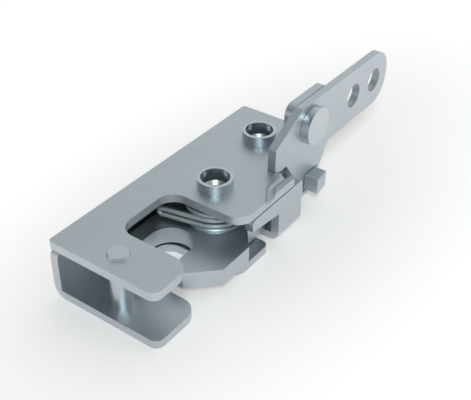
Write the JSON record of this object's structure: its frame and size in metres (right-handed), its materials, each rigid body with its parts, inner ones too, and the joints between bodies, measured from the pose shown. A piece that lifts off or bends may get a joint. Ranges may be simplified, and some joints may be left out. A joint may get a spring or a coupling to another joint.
{
  "type": "rotary latch with side trigger lever",
  "caption": "Two-plate slam latch whose rotor holds a striker rod until a side lever swings the pawl clear.",
  "frame": {"origin": "centre of the rotor bush's bore at the housing's flat underside", "axes": "+X along the plates towards the lever's free end, +Y towards the folded wall, +Z out of the top plate"},
  "size_m": [0.0985, 0.0279, 0.0255],
  "materials": {
    "zinc_sheet": "zinc plated, satin",
    "zinc_stamping": "zinc plated, satin",
    "zinc_turned": "zinc plated, bright turned",
    "steel_shim": "plain bright steel",
    "spring_wire": "drawn spring wire"
  },
  "bodies": {
    "frame": {"top_plate": "zinc_sheet", "housing": "zinc_sheet", "cam_bush": "zinc_turned", "pawl_bush": "zinc_turned", "front_post": "zinc_turned", "lever_rivet": "zinc_turned", "rotor_washer": "steel_shim", "pawl_washer": "steel_shim", "rotor_spring": "spring_wire", "pawl_spring": "spring_wire"},
    "rotor": {"rotor": "zinc_stamping"},
    "pawl": {"pawl": "zinc_stamping"},
    "lever": {"lever": "zinc_sheet"}
  },
  "joints": [
    {"name": "lever_lift", "type": "hinge", "parent": "frame", "child": "lever", "pos_m": [0.0265, -0.00665, 0.0198], "axis": [0, -1, 0], "range_deg": [0, 7], "stiffness_Nm_per_rad": 0.05, "springref_deg": -22.92},
    {"name": "pawl_swing", "type": "hinge", "parent": "frame", "child": "pawl", "pos_m": [0.0218, 0.00345, 0.0045], "axis": [0, 0, 1], "range_deg": [0, 12.1]},
    {"name": "rotor_turn", "type": "hinge", "parent": "frame", "child": "rotor", "pos_m": [0, 0, 0.0045], "axis": [0, 0, 1], "range_deg": [0, 50.1]}
  ],
  "couplings": [
    {"joint": "pawl_swing", "follows": "lever_lift", "ratio": 1.7143},
    {"joint": "rotor_turn", "follows": "lever_lift", "ratio": 7.1429}
  ]
}
